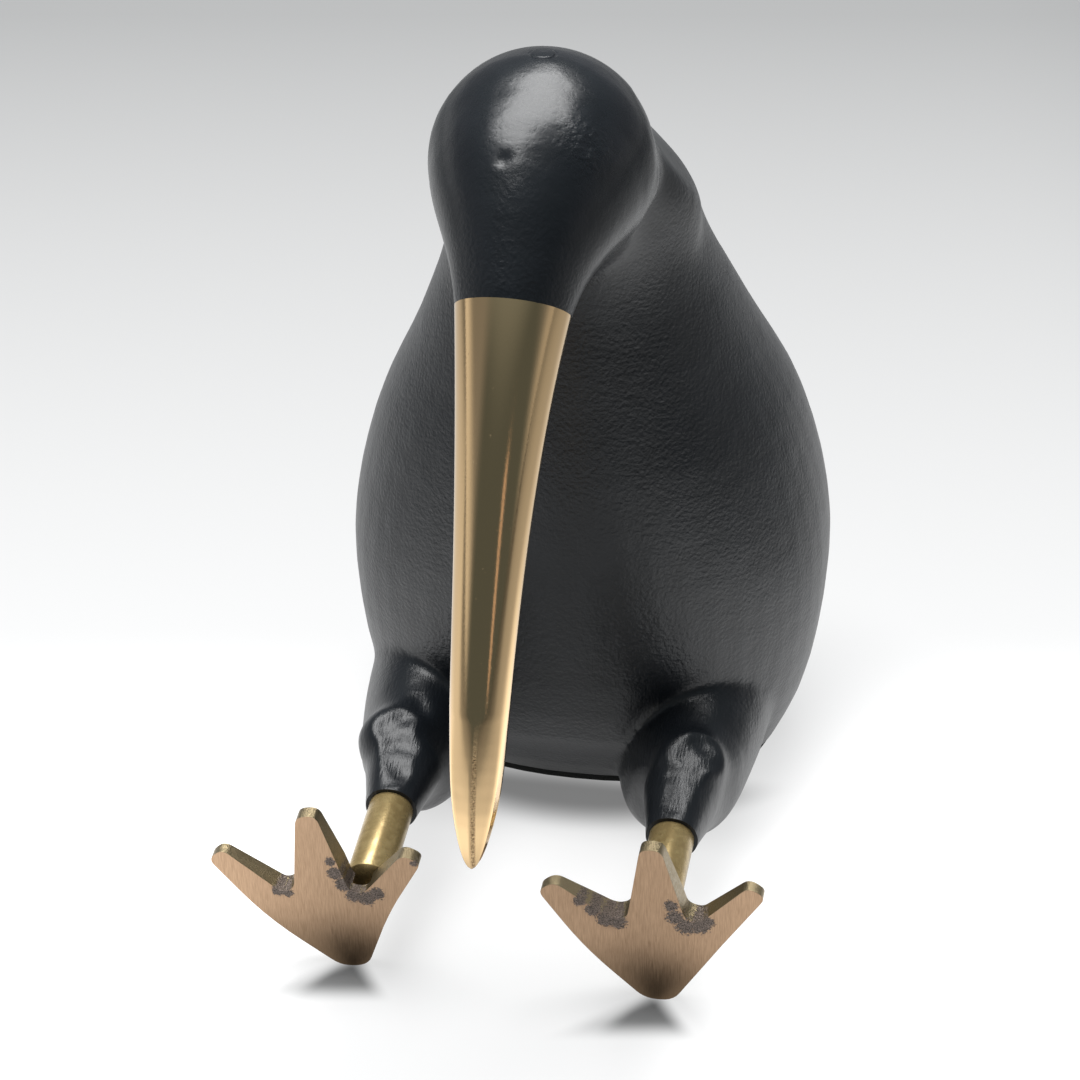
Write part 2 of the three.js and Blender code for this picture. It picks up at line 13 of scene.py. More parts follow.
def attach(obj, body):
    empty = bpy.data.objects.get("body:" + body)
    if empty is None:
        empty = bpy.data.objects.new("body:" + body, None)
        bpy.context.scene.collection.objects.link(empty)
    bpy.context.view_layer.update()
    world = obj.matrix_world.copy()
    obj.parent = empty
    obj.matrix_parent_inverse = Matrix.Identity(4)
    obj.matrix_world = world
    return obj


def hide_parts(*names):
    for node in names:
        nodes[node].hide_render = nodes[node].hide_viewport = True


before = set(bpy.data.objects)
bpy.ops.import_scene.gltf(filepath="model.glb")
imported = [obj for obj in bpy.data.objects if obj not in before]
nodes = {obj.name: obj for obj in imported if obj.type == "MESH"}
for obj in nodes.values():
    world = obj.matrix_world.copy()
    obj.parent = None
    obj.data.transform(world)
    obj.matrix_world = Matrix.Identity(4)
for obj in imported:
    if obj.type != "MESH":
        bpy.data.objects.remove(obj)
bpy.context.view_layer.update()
mm = 0.001

# %% [markdown]
# ## Sizes
# These are the lines that the pieces share: where the beak leaves the snout, where each leg
# leaves its thigh, and which way they run. They repeat the sizes of the solids, in millimetres,
# and `mm` turns them into metres.

# %% sizes
SNOUT_END = Vector((0, -70.9, 117.8)) * mm
SNOUT_SLOPE = math.radians(52)
BEAK_ROOT_RADIUS = 8.85 * mm
BEAK_TIP = Vector((0, -105.3, 41.7)) * mm
BEAK_END_SLOPE = math.radians(75)
HEAD_MIDDLE = Vector((0, -46.5, 131.6)) * mm
LEG_SLOPE = math.radians(9)
LEG_RADIUS = 3.7 * mm
LEG_ROOTS = {
    "left": Vector((23.5, -57.5, 18.59)) * mm,
    "right": Vector((-23.5, -57.5, 18.64)) * mm,
}


def forward_down(slope):
    """Direction that points ahead of the bird and down by a slope."""
    return Vector((0, -math.cos(slope), -math.sin(slope)))


BEAK_START = forward_down(SNOUT_SLOPE)
LEG_ALONG = forward_down(LEG_SLOPE)
print("beak starts at", [round(v / mm, 1) for v in SNOUT_END], "mm")

# %% [markdown]
# ## Working as by hand
# An operator acts on all that is selected, so each helper first selects one piece and nothing
# else. A piece is finished when its place and turn are in its vertices and its object sits at the
# origin, as the solids do.

# %% select, settle and apply


def deselect():
    """Leaves nothing selected, before something new is added."""
    bpy.ops.object.select_all(action="DESELECT")


def only(piece):
    """Selects one piece and nothing else."""
    deselect()
    piece.select_set(True)
    bpy.context.view_layer.objects.active = piece


def settle(piece, name):
    """Gives a piece its name and moves its place, turn and size into its vertices."""
    piece.name = name
    only(piece)
    bpy.ops.object.transform_apply(location=True, rotation=True, scale=True)
    return piece


def apply_modifier(piece, kind, **settings):
    """Adds a modifier, sets it up and applies it."""
    only(piece)
    modifier = piece.modifiers.new(kind.title(), kind)
    for key, value in settings.items():
        setattr(modifier, key, value)
    bpy.ops.object.modifier_apply(modifier=modifier.name)


def shade(piece, sharpest):
    """Shades a piece smooth, but for edges sharper than an angle in degrees."""
    only(piece)
    bpy.ops.object.shade_smooth_by_angle(angle=math.radians(sharpest))


print("selected by the load:", len(bpy.context.selected_objects), "objects")

# %% edit mode
SAME_PLACE = 0.001 * mm
FLAT_ANGLE = math.radians(1)


def edit_whole(piece):
    """Enters edit mode with the whole mesh of a piece selected."""
    only(piece)
    bpy.ops.object.mode_set(mode="EDIT")
    bpy.ops.mesh.select_all(action="SELECT")


def merge(piece):
    """Merges vertices that share a place and turns every face outward."""
    edit_whole(piece)
    bpy.ops.mesh.remove_doubles(threshold=SAME_PLACE)
    bpy.ops.mesh.normals_make_consistent(inside=False)
    bpy.ops.object.mode_set(mode="OBJECT")


def join_flat_faces(piece):
    """Joins the triangles of each flat face, so that only real edges are left to bevel."""
    edit_whole(piece)
    bpy.ops.mesh.dissolve_limited(angle_limit=FLAT_ANGLE)
    bpy.ops.object.mode_set(mode="OBJECT")


def copy_of(node, name):
    """A merged copy of a solid, to be worked on as a new piece."""
    only(nodes[node])
    bpy.ops.object.duplicate()
    piece = bpy.context.object
    piece.parent = None
    for key in list(piece.keys()):
        del piece[key]
    piece.data.materials.clear()
    settle(piece, name)
    merge(piece)
    return piece


print("vertices closer than", SAME_PLACE / mm, "mm are merged")

# %% bars, cones and balls
BAR_SIDES = 64
BALL_SIDES = 48
BALL_RINGS = 24


def cylinder(name, start, direction, first, last, radius, end_radius=None, sides=BAR_SIDES):
    """A round bar or cone between two distances along a direction."""
    deselect()
    bpy.ops.mesh.primitive_cone_add(
        vertices=sides,
        radius1=radius,
        radius2=radius if end_radius is None else end_radius,
        depth=last - first,
        location=start + direction * (first + last) / 2,
        rotation=direction.to_track_quat("Z", "Y").to_euler(),
    )
    return settle(bpy.context.object, name)


def ball(name, middle, half_size):
    """An oval ball, its middle and half sizes in millimetres."""
    deselect()
    bpy.ops.mesh.primitive_uv_sphere_add(
        segments=BALL_SIDES,
        ring_count=BALL_RINGS,
        radius=mm,
        location=Vector(middle) * mm,
    )
    bpy.context.object.scale = half_size
    return settle(bpy.context.object, name)


print("bars have", BAR_SIDES, "sides and balls", BALL_RINGS, "rings")

# %% [markdown]
# ## Black casting
# Body, neck, head, snout and thighs are one sand casting under a thin black coat. It has no edges
# but round the flat base and where the brass begins, and its skin is a little uneven all over. A
# subdivided cage could give that shape, but joining it at the thighs is slow. Here a copy of the
# solid is taken, its sockets and its open base are plugged, and balls round out the crown and the
# jaw. One fine remesh turns all of it into a single even skin that is then smoothed.
# The snout and thighs are made too long first and cut square at the end, so the borders with the
# brass stay sharp.

# %% casting and its plugs
BASE_MIDDLE_Y = 7.3 * mm
BASE_PLUG_HALF_SIZE = (30.5 * mm, 19.5 * mm)
BASE_LOW = 1.6 * mm
BASE_HIGH = 6 * mm
SPARE_LENGTH = 4 * mm
SNOUT_PLUG_DEPTH = 9 * mm
SNOUT_PLUG_RADII = (BEAK_ROOT_RADIUS * 1.02, BEAK_ROOT_RADIUS * 0.95)
THIGH_PLUG_DEPTH = 12 * mm
THIGH_PLUG_RADII = (6.8 * mm, 3.7 * mm)
HEAD_RADIUS = 17.6
JAW_MIDDLE = (0, -40, 122)
JAW_HALF_SIZE = (13.5, 12, 12)

plugs = [copy_of("body_casting", "casting")]

base_plug = cylinder("base_plug", Vector(), Vector((0, 0, 1)), BASE_LOW, BASE_HIGH, 1.0)
base_plug.scale = (*BASE_PLUG_HALF_SIZE, 1)
base_plug.location = (0, BASE_MIDDLE_Y, 0)
plugs.append(settle(base_plug, "base_plug"))

snout_length = (-SNOUT_PLUG_DEPTH, SPARE_LENGTH)
plugs.append(cylinder("snout_plug", SNOUT_END, BEAK_START, *snout_length, *SNOUT_PLUG_RADII))
plugs.append(ball("crown", HEAD_MIDDLE / mm, (HEAD_RADIUS, HEAD_RADIUS, HEAD_RADIUS)))
thigh_length = (-THIGH_PLUG_DEPTH, SPARE_LENGTH)
for side, root in LEG_ROOTS.items():
    plugs.append(cylinder(side + "_plug", root, LEG_ALONG, *thigh_length, *THIGH_PLUG_RADII))
plugs.append(ball("jaw", JAW_MIDDLE, JAW_HALF_SIZE))

casting = plugs[0]
only(casting)
for plug in plugs:
    plug.select_set(True)
bpy.ops.object.join()
print("casting with", len(plugs) - 1, "plugs")

# %% one skin
SKIN_PITCH = 0.8 * mm

apply_modifier(casting, "REMESH", mode="VOXEL", voxel_size=SKIN_PITCH)
edit_whole(casting)
bpy.ops.mesh.separate(type="LOOSE")
bpy.ops.object.mode_set(mode="OBJECT")

# The hollow inside is a shell of its own, and only the outer skin is kept
shells = sorted(bpy.context.selected_objects, key=lambda shell: len(shell.data.vertices))
casting = shells.pop()
for shell in shells:
    bpy.data.objects.remove(shell)
casting.name = "casting"
apply_modifier(casting, "SMOOTH", factor=0.5, iterations=14)
print("skin:", len(casting.data.vertices), "vertices")

# %% [markdown]
# ### Neck
# The neck runs into the head without a crease, and its sides are full between the head and the
# shoulders. Sculpting would do that by hand. Here the skin is smoothed inside a box, and each
# hollow is filled towards a plane.

# %% neck
# Two boxes, each by its low and its high corner, and the left side of the neck, in millimetres
HEAD_JOINT = ((-30, -47, 104), (30, -18, 152))
NECK = ((-32, -45, 98), (32, 6, 142))
NECK_SIDE = (18.0, -29, 124.8)
NECK_SIDE_FACES = (0.778, 0.264, 0.571)
HOLLOW_REACH = 19
HOLLOW_DEPTH = 7


def smooth_near(piece, low, high, iterations):
    """Smooths the skin inside a box given in millimetres."""
    inside = [
        vertex.index
        for vertex in piece.data.vertices
        if all(a < value / mm < b for a, value, b in zip(low, vertex.co, high))
    ]
    group = piece.vertex_groups.new(name="smoothed")
    group.add(inside, 1.0, "REPLACE")
    apply_modifier(piece, "SMOOTH", factor=0.5, iterations=iterations, vertex_group="smoothed")
    piece.vertex_groups.remove(piece.vertex_groups["smoothed"])


def fill(piece, middle, normal, reach, deepest):
    """Fills a hollow towards a plane near a point, where the hollow isn't too deep."""
    middle = Vector(middle) * mm
    normal = Vector(normal).normalized()
    for vertex in piece.data.vertices:
        distance = (vertex.co - middle).length / (reach * mm)
        below = (middle - vertex.co).dot(normal) / (deepest * mm)
        if distance < 1 and 0 < below < 1:
            vertex.co += normal * below * deepest * mm * (1 - distance**3) * (1 - below**2)


def mirrored(point):
    """A point or a direction on the other side of the bird."""
    x, y, z = point
    return (-x, y, z)


smooth_near(casting, *HEAD_JOINT, 40)
fill(casting, NECK_SIDE, NECK_SIDE_FACES, HOLLOW_REACH, HOLLOW_DEPTH)
fill(casting, mirrored(NECK_SIDE), mirrored(NECK_SIDE_FACES), HOLLOW_REACH, HOLLOW_DEPTH)
smooth_near(casting, *NECK, 60)
neck = [vertex.co.x for vertex in casting.data.vertices if abs(vertex.co.z / mm - 120) < 0.5]
print("neck and head together:", round((max(neck) - min(neck)) / mm, 1), "mm wide at 120 mm")

# %% [markdown]
# ### Knees
# The tops of the knees were filed flat by hand, each its own way. Vertices that stand above a
# plane are taken down to it, and a slow noise makes each flat a little wavy, with a ragged edge.

# %% knees
KNEES = ((-36, -56, 10), (36, -34, 36))
KNEES_AND_SHINS = ((-36, -62, 10), (36, -34, 36))
FILE_WAVE_LENGTH = 3.4 * mm
FILE_WAVE_HEIGHT = 0.6 * mm

# A point on each flat, the way it faces, its reach in millimetres and the share that is taken off
KNEE_FLATS = [
    ((-24.8, -48.5, 26), (0.06, -0.35, 0.935), 8, 0.95),
    ((-24.2, -54, 23.9), (0.12, -0.4, 0.91), 4, 0.9),
    ((-21.8, -39, 27.6), (0.12, -0.33, 0.93), 3.2, 0.9),
    ((25.4, -48, 26.4), (0.12, -0.42, 0.9), 7.5, 0.95),
    ((23.2, -53, 24.4), (-0.1, -0.36, 0.93), 5, 0.9),
    ((28, -43, 27), (0.35, -0.35, 0.87), 5, 0.9),
]


def file_flat(piece, middle, normal, reach, share):
    """Files a wavy flat: what stands above a plane near a point is taken down by a share."""
    middle = Vector(middle) * mm
    normal = Vector(normal).normalized()
    for vertex in piece.data.vertices:
        distance = (vertex.co - middle).length / (reach * mm)
        if distance >= 1:
            continue
        wave = noise.noise(vertex.co / FILE_WAVE_LENGTH) * FILE_WAVE_HEIGHT
        above = (vertex.co - middle).dot(normal) + wave
        if above > 0:
            vertex.co -= normal * above * share * (1 - distance**4)


smooth_near(casting, *KNEES, 6)
for middle, normal, reach, share in KNEE_FLATS:
    file_flat(casting, middle, normal, reach, share)
smooth_near(casting, *KNEES_AND_SHINS, 1)
print("knees:", len(KNEE_FLATS), "flats")

# %% [markdown]
# ### Casting faults and cut ends
# Two small faults in the mould left dents on the forehead. A dent is a soft groove pressed in
# along the normals. Last, the snout and the thighs are cut square with a bisect.

# %% faults and ends
SNOUT_CUT_REACH = 13 * mm
THIGH_CUT_REACH = 8 * mm
# Start and end of each fault, its width and its depth, in millimetres
FAULTS = [
    ((-2.5, -65.9, 139.5), (-2.2, -65.6, 139.8), 1.4, 0.3),
    ((9.3, -60.5, 140.5), (9.6, -60.2, 140.6), 1.6, 0.2),
]


def distance_to_step(point, start, end):
    """Distance of a point from the straight step between two others."""
    along = end - start
    share = (point - start).dot(along) / along.length_squared
    return (point - start - along * min(1.0, max(0.0, share))).length


def dent(piece, start, end, width, depth):
    """Presses a soft groove between two points, all in millimetres."""
    start = Vector(start) * mm
    end = Vector(end) * mm
    normals = [vertex.normal.copy() for vertex in piece.data.vertices]
    for vertex, normal in zip(piece.data.vertices, normals):
        reach = distance_to_step(vertex.co, start, end)
        if reach < width * mm:
            soft = (1 - (reach / (width * mm)) ** 2) ** 2
            vertex.co -= normal * depth * mm * soft


def trim(piece, middle, reach, normal):
    """Cuts a piece square across near a point and removes what lies beyond the cut."""
    only(piece)
    bpy.ops.object.mode_set(mode="EDIT")
    bpy.ops.mesh.select_mode(type="VERT")
    bpy.ops.mesh.select_all(action="DESELECT")
    bpy.ops.object.mode_set(mode="OBJECT")
    for vertex in piece.data.vertices:
        vertex.select = (vertex.co - middle).length < reach
    bpy.ops.object.mode_set(mode="EDIT")
    bpy.ops.mesh.bisect(plane_co=middle, plane_no=normal, use_fill=True, clear_outer=True)
    bpy.ops.object.mode_set(mode="OBJECT")


for start, end, width, depth in FAULTS:
    dent(casting, start, end, width, depth)
apply_modifier(casting, "SMOOTH", factor=0.5, iterations=1)
trim(casting, SNOUT_END, SNOUT_CUT_REACH, BEAK_START)
for root in LEG_ROOTS.values():
    trim(casting, root, THIGH_CUT_REACH, LEG_ALONG)
shade(casting, 40)
print("casting:", len(casting.data.polygons), "faces")

# %% [markdown]
# ## Beak
# The beak is one brass casting, round at the root, that narrows along a slow bend and ends in a
# pointed arch. A bevelled curve gives exactly that: two Bezier points carry the bend, more points
# are added along it, closer together at the tip, and each takes its own radius. It is then made a
# mesh.

# %% line of the beak
ROOT_PULL = 0.22
TIP_PULL = 0.45
TIP_SPARE = 0.1
LINE_CUTS = 47
TIP_CUTS = 5

deselect()
bpy.ops.curve.primitive_bezier_curve_add()
beak = bpy.context.object
line = beak.data
line.dimensions = "3D"
first, last = line.splines[0].bezier_points
for point in (first, last):
    point.handle_left_type = "FREE"
    point.handle_right_type = "FREE"
straight = (BEAK_TIP - SNOUT_END).length
beak_end = forward_down(BEAK_END_SLOPE)
first.co = SNOUT_END
first.handle_right = SNOUT_END + BEAK_START * straight * ROOT_PULL
first.handle_left = SNOUT_END - BEAK_START * straight * ROOT_PULL
last.co = BEAK_TIP
last.handle_left = BEAK_TIP - beak_end * straight * TIP_PULL
last.handle_right = BEAK_TIP + beak_end * straight * TIP_SPARE

bpy.ops.object.mode_set(mode="EDIT")
bpy.ops.curve.select_all(action="SELECT")
bpy.ops.curve.subdivide(number_cuts=LINE_CUTS)
bpy.ops.curve.select_all(action="DESELECT")
for point in line.splines[0].bezier_points[-3:]:
    point.select_control_point = True
bpy.ops.curve.subdivide(number_cuts=TIP_CUTS)
bpy.ops.object.mode_set(mode="OBJECT")
points = line.splines[0].bezier_points
print("beak line:", len(points), "points")

# %% taper
# Radii in millimetres: before the arch, what the even taper adds, and what the flare at the root adds
SHOULDER_RADIUS = 4.1
EVEN_TAPER = 1.4
ROOT_FLARE = 3.35
ARCH_WIDTH = 1.06
ARCH_ROUNDNESS = 0.54
THINNEST = 0.15
SHOULDER_SHARPNESS = 8


def beak_radius(length, left):
    """Radius in mm where a share of the length is left: a long taper, then a pointed arch."""
    taper = SHOULDER_RADIUS + EVEN_TAPER * left + ROOT_FLARE * left**3
    arch = max(THINNEST, ARCH_WIDTH * (length / mm * left) ** ARCH_ROUNDNESS)
    joined = taper**-SHOULDER_SHARPNESS + arch**-SHOULDER_SHARPNESS
    return joined ** (-1 / SHOULDER_SHARPNESS)


travelled = [0.0]
for before, after in zip(points[:-1], points[1:]):
    travelled.append(travelled[-1] + (after.co - before.co).length)
beak_length = travelled[-1]
for point, distance in zip(points, travelled):
    point.radius = beak_radius(beak_length, 1 - distance / beak_length)
middle_line = [(point.co.z, point.co.y) for point in points]

line.splines[0].resolution_u = 4
line.bevel_depth = mm
line.bevel_resolution = 22
line.use_fill_caps = True
bpy.ops.object.convert(target="MESH")
beak = settle(bpy.context.object, "polished_beak")
merge(beak)
shade(beak, 40)
print("beak:", len(beak.data.polygons), "faces,", round(beak_length / mm, 1), "mm long")

# %% [markdown]
# ### Filed tip
# Towards the tip the beak was filed: two flats meet in a ridge in front, and two more run down the
# sides. Each ring of vertices is drawn in towards the flats, a little at first and fully at the
# tip.

# %% filed tip
# Height in millimetres where the filing starts, and over how much it reaches its full depth
FILED_FROM = 66
FILED_OVER = 12
# Angle of each flat from the front, and how far it lies from the middle, as a share of the radius
FLATS = {math.radians(28): 0.885, math.radians(78): 0.95}
NEVER_CLOSER = 0.2


def axis_at(height):
    """Y of the beak's middle line at a height."""
    for (top, y_top), (low, y_low) in zip(middle_line[:-1], middle_line[1:]):
        if low <= height <= top:
            return y_top + (y_low - y_top) * (top - height) / (top - low)
    return middle_line[0][1] if height > middle_line[0][0] else middle_line[-1][1]


filed = 0
for vertex in beak.data.vertices:
    near_tip = (FILED_FROM - vertex.co.z / mm) / FILED_OVER
    if near_tip <= 0:
        continue
    axis = axis_at(vertex.co.z)
    x = vertex.co.x
    y = vertex.co.y - axis
    turn = abs(math.atan2(x, -y))
    reaches = [depth / max(NEVER_CLOSER, math.cos(turn - flat)) for flat, depth in FLATS.items()]
    share = 1 + (min(1.0, *reaches) - 1) * min(1.0, near_tip)
    vertex.co.x = x * share
    vertex.co.y = axis + y * share
    filed += share < 1
print("tip:", filed, "vertices filed")

# %% [markdown]
# ## Legs
# Each leg is a turned brass rod with a socket end inside the thigh. The edge at the foot is
# barely broken, so a bar with a small bevel is enough.

# %% legs
LEG_SHOW = 17.4 * mm
LEG_SOCKET = 6 * mm
LEG_EDGE = 0.2 * mm

legs = {}
for side, root in LEG_ROOTS.items():
    leg = cylinder(side + "_rod", root, LEG_ALONG, -LEG_SOCKET, LEG_SHOW, LEG_RADIUS, sides=72)
    apply_modifier(leg, "BEVEL", width=LEG_EDGE, segments=2, limit_method="ANGLE")
    shade(leg, 35)
    legs[side] = leg
    print(leg.name, len(leg.data.polygons), "faces")

# %% [markdown]
# ## Feet
# The feet are flat brass plates with three toes, linished on the sole, with the arrises just
# broken. A copy of each solid gives the outline. Its flat faces are joined up and every edge gets
# a small rounded bevel.

# %% feet
FOOT_EDGE = 0.35 * mm

feet = {}
for side in LEG_ROOTS:
    foot = copy_of(side + "_foot", side + "_plate")
    join_flat_faces(foot)
    shade(foot, 35)
    bevel = {"segments": 3, "limit_method": "ANGLE", "harden_normals": True}
    apply_modifier(foot, "BEVEL", width=FOOT_EDGE, **bevel)
    feet[side] = foot
    print(foot.name, len(foot.data.polygons), "faces")

# %% [markdown]
# ## Felt pad
# A thin pad of dark felt lies under the casting, so the metal doesn't scratch a table. It is cut
# flat, so a copy of the solid with softened edges is all it needs.

# %% felt
FELT_EDGE = 0.3 * mm

pad = copy_of("base_felt", "felt_pad")
join_flat_faces(pad)
apply_modifier(pad, "BEVEL", width=FELT_EDGE, segments=2, limit_method="ANGLE")

# %% [markdown]
# ## Finishes
# Every finish is a small tree of nodes. Writing trees by hand takes many lines, so one class
# holds a socket and turns plain arithmetic into nodes. Patterns read Object coordinates, turned
# into millimetres, so that a grain or a mark has a real size: a noise of scale 1.5 has about one
# and a half grains to the millimetre.

# %% node arithmetic


class Flow:
    """A value or colour on its way through a node tree."""

    def __init__(self, tree, socket=None):
        self.tree = tree
        self.socket = socket

    def node(self, kind, settings=None, inputs=None, output=0):
        """Adds any node, sets it up, then fills its inputs."""
        made = self.tree.nodes.new("ShaderNode" + kind)
        for key, value in (settings or {}).items():
            setattr(made, key, value)
        for key, value in (inputs or {}).items():
            if isinstance(value, Flow):
                self.tree.links.new(value.socket, made.inputs[key])
            else:
                made.inputs[key].default_value = value
        return Flow(self.tree, made.outputs[output])

    def math(self, operation, *others):
        """One Math node on this value."""
        return self.node("Math", {"operation": operation}, dict(enumerate([self, *others])))

    def __add__(self, other):
        return self.math("ADD", other)

    def __sub__(self, other):
        return self.math("SUBTRACT", other)

    def __mul__(self, other):
        return self.math("MULTIPLY", other)

    def __truediv__(self, other):
        return self.math("DIVIDE", other)

    def __rsub__(self, other):
        return self.node("Math", {"operation": "SUBTRACT"}, {0: other, 1: self})

    def __rtruediv__(self, other):
        return self.node("Math", {"operation": "DIVIDE"}, {0: other, 1: self})

    __radd__ = __add__
    __rmul__ = __mul__

    def least(self, other):
        """The smaller of two values."""
        return self.math("MINIMUM", other)

    def most(self, other):
        """The larger of two values."""
        return self.math("MAXIMUM", other)

    def magnitude(self):
        """The value without its sign."""
        return self.math("ABSOLUTE")

    def ramp(self, low, high, start=0.0, end=1.0):
        """Goes smoothly from start to end as this value goes from low to high."""
        settings = {"interpolation_type": "SMOOTHSTEP"}
        return self.node("MapRange", settings, {0: self, 1: low, 2: high, 3: start, 4: end})

    def blend(self, first, second):
        """Mixes two colours by this value."""
        return self.node("Mix", {"data_type": "RGBA"}, {0: self, 6: first, 7: second}, output=2)

    def part(self, axis):
        """One component of a vector."""
        return self.node("SeparateXYZ", None, {0: self}, output="XYZ".index(axis))

    def scaled(self, factors):
        """A vector multiplied by three factors."""
        return self.node("VectorMath", {"operation": "MULTIPLY"}, {0: self, 1: factors})

    def distance(self, point):
        """Distance of a position from a point."""
        return self.node("VectorMath", {"operation": "DISTANCE"}, {0: self, 1: point}, output=1)

    def noise(self, scale, detail=2.0, roughness=0.5):
        """Cloudy noise at this position, between 0 and 1."""
        inputs = {"Vector": self, "Scale": scale, "Detail": detail, "Roughness": roughness}
        return self.node("TexNoise", None, inputs)

    def bump(self, strength, depth):
        """Normals of a surface raised by this height, depth in metres."""
        inputs = {"Strength": strength, "Distance": depth, "Height": self}
        return self.node("Bump", None, inputs)


def new_material(name, **constants):
    """A material with its Principled shader, and the position on the piece in millimetres."""
    material = bpy.data.materials.new(name)
    material.use_nodes = True
    tree = material.node_tree
    shader = tree.nodes["Principled BSDF"]
    for key, value in constants.items():
        shader.inputs[key.replace("_", " ")].default_value = value
    place = Flow(tree).node("TexCoord", output=3).scaled((1000, 1000, 1000))
    return material, shader, place


def connect(shader, **flows):
    """Links varying values to the shader's sockets."""
    for key, value in flows.items():
        value.tree.links.new(value.socket, shader.inputs[key.replace("_", " ")])


print("node arithmetic ready")

# %% [markdown]
# ### Black coat
# The coat is a thin blue-black film over sand-cast metal. It is glossy where hands and cloths have
# smoothed it on the head, and satin on the body, where the grain of the sand still shows. The
# filed knees have little grain and keep fine marks of the file, one fault on the forehead has
# rough skin round it, and a faint ring on the crown shows the end of the tie rod.

# %% black coat
COAT_DARK = (0.0052, 0.0066, 0.0086, 1)
COAT_LIGHT = (0.0075, 0.0092, 0.0116, 1)
COAT_RELIEF = 0.28 * mm
RIGHT_KNEE = (-25, -52, 25)
LEFT_KNEE = (24.3, -52, 25)
ROUGH_FAULT = (9.5, -60.5, 140.5)
CROWN_MARK = (0, -46.4, 149.2)
CROWN_MARK_RADIUS = 2

coat, shader, place = new_material("black coat", Specular_IOR_Level=0.33)
off_head = place.distance(tuple(HEAD_MIDDLE / mm)).ramp(16, 34)
off_knees = place.distance(RIGHT_KNEE).least(place.distance(LEFT_KNEE)).ramp(17, 26)
grain = place.noise(1.5)
lumps = place.noise(0.16)
file_marks = place.scaled((3.0, 0.5, 0.5)).noise(1.0) * (1 - off_knees)
rough_patch = place.distance(ROUGH_FAULT).ramp(1, 7, 1.0, 0.0)
off_ring = (place.distance(CROWN_MARK) - CROWN_MARK_RADIUS).magnitude()
crown_ring = off_ring.ramp(0.1, 0.4, 1.0, 0.0)

height = grain * off_head.ramp(0, 1, 0.2, 1.0) * off_knees.ramp(0, 1, 0.25, 1.0)
height = height + file_marks * 0.5 + lumps * 1.2
height = height + place.noise(0.9, 3.0, 0.6) * rough_patch * 2.4 - crown_ring * 0.5
tone = lumps.ramp(0.3, 0.7).blend(COAT_DARK, COAT_LIGHT)
shine = off_head.ramp(0, 1, 0.25, 0.32) + grain * 0.05
connect(shader, Base_Color=tone, Roughness=shine, Normal=height.bump(0.5, COAT_RELIEF))
print(coat.name, len(coat.node_tree.nodes), "nodes")

# %% [markdown]
# ### Polished brass
# The beak is buffed to a mirror, with hairline scratches along it and a few specks. The ridge at
# the tip kept a dark, crumbly seam. Its colour comes almost wholly from what it reflects.

# %% polished brass
BRASS = (0.65, 0.46, 0.25, 1)
SEAM_BROWN = (0.2, 0.12, 0.06, 1)
SEAM_X = 0.4
POLISH_RELIEF = 0.1 * mm

polish, shader, place = new_material("polished brass", Metallic=1.0)
scratches = place.scaled((6.0, 6.0, 0.25)).noise(1.0, 3.0, 0.6)
off_seam = (place.part("X") - SEAM_X).magnitude()
seam = off_seam.ramp(0.1, 0.45, 1.0, 0.0) * place.part("Z").ramp(58, 66, 1.0, 0.0)
crumbs = place.scaled((3.0, 3.0, 5.0)).noise(1.0, 3.0, 0.6).ramp(0.35, 0.65)
specks = place.noise(0.9, 3.0, 0.7).ramp(0.7, 0.76)
height = scratches * 0.1 - seam * (crumbs + 0.6) - specks * 0.5
tint = (seam * crumbs).blend(BRASS, SEAM_BROWN)
dulling = scratches.ramp(0.3, 0.7, 0.08, 0.14) + seam * 0.2
connect(shader, Base_Color=tint, Roughness=dulling, Normal=height.bump(0.5, POLISH_RELIEF))
print(polish.name, len(polish.node_tree.nodes), "nodes")

# %% [markdown]
# ### Turned brass
# The rods were left as turned. They are satin and olive-gold under an uneven tarnish, so half of
# their colour is given as a plain surface and half as metal. The faint rings of the lathe tool run
# round the leg.

# %% turned brass
TARNISH_DARK = (0.28, 0.2, 0.085, 1)
TARNISH_LIGHT = (0.38, 0.28, 0.125, 1)
TOOL_MARKS = 0.005 * mm

turned, shader, place = new_material("turned brass", Metallic=0.5, Specular_IOR_Level=0.3)
rings = place.scaled((0.05, 1.0, 0.05)).noise(5.0, 3.0, 0.6)
tarnish = place.noise(0.7, 4.0, 0.6).ramp(0.35, 0.65)
connect(shader, Base_Color=tarnish.blend(TARNISH_DARK, TARNISH_LIGHT))
connect(shader, Roughness=tarnish.ramp(0, 1, 0.32, 0.26), Normal=rings.bump(0.05, TOOL_MARKS))
print(turned.name, len(turned.node_tree.nodes), "nodes")

# %% [markdown]
# ### Brushed brass
# The soles were linished up and down on a belt and left dull. Towards the heels a painted shade
# darkens them, for the floor's shadow that they reflect.
# In the crotches of the toes the belt didn't reach, and grey-brown casting pits remain. The edges
# of the plates were left as cast, and are darker and rougher than the soles. The pits are patches
# at given places on each sole, with a ragged outline from noise.

# %% pitted patches
# Middle of each sole, across and up
SOLES = {"left": (23.5, 15.2), "right": (-23.5, 15.2)}
